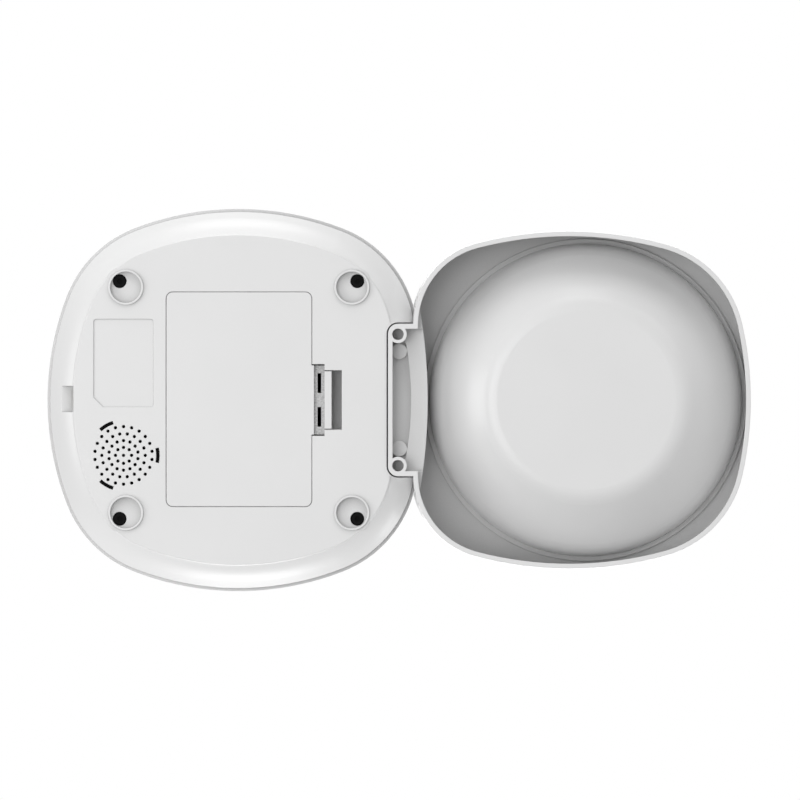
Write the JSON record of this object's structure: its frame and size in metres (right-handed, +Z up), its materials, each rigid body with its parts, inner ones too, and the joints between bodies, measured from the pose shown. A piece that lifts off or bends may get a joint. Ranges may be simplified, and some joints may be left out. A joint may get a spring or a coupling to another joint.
{
  "type": "pet feeder",
  "caption": "Portion-dispensing pet feeder: hopper tower with hinged lid, motorised cover over a steel bowl on a pull-off stand, and a battery bay under the base.",
  "frame": {"origin": "on the floor under the middle of the feeder's overall length and width", "axes": "+Z up, +X from the hopper tower towards the bowl, +Y to the left of someone at the tower looking towards the bowl"},
  "size_m": [0.3533, 0.1916, 0.3019],
  "materials": {
    "white_satin": "satin",
    "dark_steel": "black oxide",
    "cell_jacket": "gloss",
    "nickel_spring": "nickel plate",
    "speaker_black": "matte",
    "circuit_board": "satin",
    "grey_frame": "matte",
    "satin_steel": "satin",
    "coil_copper": "enamel",
    "clear_cover": "clear",
    "gear_acetal": "matte",
    "motor_steel": "zinc plate",
    "soft_paddle": "matte",
    "seal_silicone": "matte",
    "display_black": "gloss",
    "button_grey": "matte"
  },
  "bodies": {
    "feeder": {"antenna_coil": "coil_copper", "base_cover": "white_satin", "base_screws": "dark_steel", "battery_cell_1": "cell_jacket", "battery_cell_2": "cell_jacket", "battery_cell_3": "cell_jacket", "battery_contacts": "nickel_spring", "battery_tray": "white_satin", "chassis_plate": "grey_frame", "cover_bracket": "grey_frame", "cover_motor": "motor_steel", "display_board": "circuit_board", "display_window": "display_black", "feed_gear_plate": "grey_frame", "feed_motor": "motor_steel", "food_chute": "grey_frame", "hopper_bin": "white_satin", "hopper_housing": "white_satin", "idler_axle": "dark_steel", "lid_hinge_pin": "dark_steel", "main_board": "circuit_board", "main_housing": "white_satin", "rotor_housing": "grey_frame", "speaker": "speaker_black", "spout_hood": "white_satin", "usb_board": "circuit_board", "usb_socket": "nickel_spring"},
    "stand": {"bowl_stand": "white_satin"},
    "bowl": {"food_bowl": "satin_steel"},
    "cover": {"bowl_cover": "clear_cover", "cover_drive_shaft": "dark_steel", "cover_pivot_pin": "dark_steel", "cover_gear": "gear_acetal"},
    "idler": {"cover_idler": "gear_acetal"},
    "cover_drive": {"cover_pinion": "gear_acetal"},
    "door": {"battery_door": "white_satin"},
    "latch": {"battery_latch": "white_satin"},
    "rotor": {"portion_rotor": "soft_paddle", "rotor_shaft": "dark_steel", "rotor_gear": "gear_acetal"},
    "feed_drive": {"feed_pinion": "gear_acetal"},
    "lid": {"hopper_lid": "white_satin", "lid_seal": "seal_silicone", "desiccant_cup": "white_satin", "desiccant_cap": "white_satin"},
    "button_l": {"button_left": "button_grey"},
    "button_c": {"button_centre": "button_grey"},
    "button_r": {"button_right": "button_grey"}
  },
  "joints": [
    {"name": "stand_pull", "type": "slide", "parent": "feeder", "child": "stand", "axis": [1, 0, 0], "range_m": [0, 0.03]},
    {"name": "bowl_lift", "type": "slide", "parent": "stand", "child": "bowl", "axis": [0, 0, 1], "range_m": [0, 0.002]},
    {"name": "cover_hinge", "type": "hinge", "parent": "feeder", "child": "cover", "pos_m": [0.0186, 0, 0.055], "axis": [0, -1, 0], "range_deg": [0, 90]},
    {"name": "idler_spin", "type": "hinge", "parent": "feeder", "child": "idler", "pos_m": [0.00079, 0, 0.0576], "axis": [0, -1, 0], "range_deg": [-46, 1]},
    {"name": "cover_pinion_spin", "type": "hinge", "parent": "feeder", "child": "cover_drive", "pos_m": [-0.01521, 0, 0.0576], "axis": [0, -1, 0], "range_deg": [-1, 136]},
    {"name": "battery_door_hinge", "type": "hinge", "parent": "feeder", "child": "door", "pos_m": [-0.1167, 0, 0.0012], "axis": [0, 1, 0], "range_deg": [0, 75]},
    {"name": "latch_slide", "type": "slide", "parent": "door", "child": "latch", "axis": [-1, 0, 0], "range_m": [0, 0.0015], "stiffness_N_per_m": 300},
    {"name": "rotor_spin", "type": "hinge", "parent": "feeder", "child": "rotor", "pos_m": [-0.0825, 0, 0.16], "axis": [0, -1, 0], "continuous": true},
    {"name": "feed_pinion_spin", "type": "hinge", "parent": "feeder", "child": "feed_drive", "pos_m": [-0.10693, 0, 0.16889], "axis": [0, -1, 0], "continuous": true},
    {"name": "lid_hinge", "type": "hinge", "parent": "feeder", "child": "lid", "pos_m": [-0.1722, 0, 0.2882], "axis": [0, -1, 0], "range_deg": [0, 100]},
    {"name": "button_left_press", "type": "slide", "parent": "feeder", "child": "button_l", "axis": [-1, 0, 0], "range_m": [0, 0.0008], "stiffness_N_per_m": 400},
    {"name": "button_centre_press", "type": "slide", "parent": "feeder", "child": "button_c", "axis": [-1, 0, 0], "range_m": [0, 0.0008], "stiffness_N_per_m": 400},
    {"name": "button_right_press", "type": "slide", "parent": "feeder", "child": "button_r", "axis": [-1, 0, 0], "range_m": [0, 0.0008], "stiffness_N_per_m": 400}
  ],
  "couplings": [
    {"joint": "idler_spin", "follows": "cover_hinge", "ratio": -0.5},
    {"joint": "cover_pinion_spin", "follows": "cover_hinge", "ratio": 1.5},
    {"joint": "feed_pinion_spin", "follows": "rotor_spin", "ratio": -3.3333}
  ]
}
